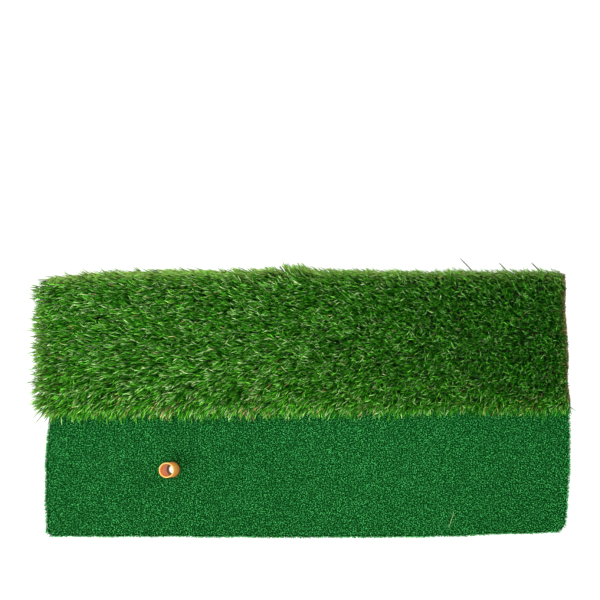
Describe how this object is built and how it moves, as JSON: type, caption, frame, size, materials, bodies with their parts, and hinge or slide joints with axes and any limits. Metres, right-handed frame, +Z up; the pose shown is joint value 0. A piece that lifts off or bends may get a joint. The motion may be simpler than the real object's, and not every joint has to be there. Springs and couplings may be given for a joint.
{
  "type": "golf hitting mat",
  "caption": "Oblong practice mat: a strip of tall leaning turf and a strip of short curly turf on a foam base, with a hollow rubber tee standing up through a hole in the short turf.",
  "frame": {"origin": "middle of the mat's underside, at floor level", "axes": "+X along the mat's length, away from the tee's end; +Y across it, from the short turf to the tall turf; +Z up"},
  "size_m": [0.617, 0.3, 0.06],
  "materials": {
    "foam": "matte",
    "adhesive": "satin",
    "latex": "matte",
    "rough_backing": "matte",
    "thatch": "matte",
    "blades": "satin",
    "fairway_backing": "matte",
    "pile": "matte",
    "tee_rubber": "satin"
  },
  "bodies": {
    "tee_foot": {"tee_foot": "tee_rubber"},
    "mat": {"foam_base": "foam", "rough_adhesive": "adhesive", "rough_latex": "latex", "rough_backing": "rough_backing", "rough_thatch": "thatch", "rough_blades": "blades", "fairway_adhesive": "adhesive", "fairway_latex": "latex", "fairway_backing": "fairway_backing", "fairway_pile": "pile"},
    "tee_stem": {"tee_stem": "tee_rubber"}
  },
  "joints": [
    {"name": "mat_lift", "type": "slide", "parent": "tee_foot", "child": "mat", "axis": [0, 0, 1], "range_m": [0, 0.065]},
    {"name": "tee_bend", "type": "hinge", "parent": "tee_foot", "child": "tee_stem", "pos_m": [-0.156, -0.074, 0.0225], "axis": [0, 1, 0], "range_deg": [-40, 40], "stiffness_Nm_per_rad": 0.3}
  ]
}
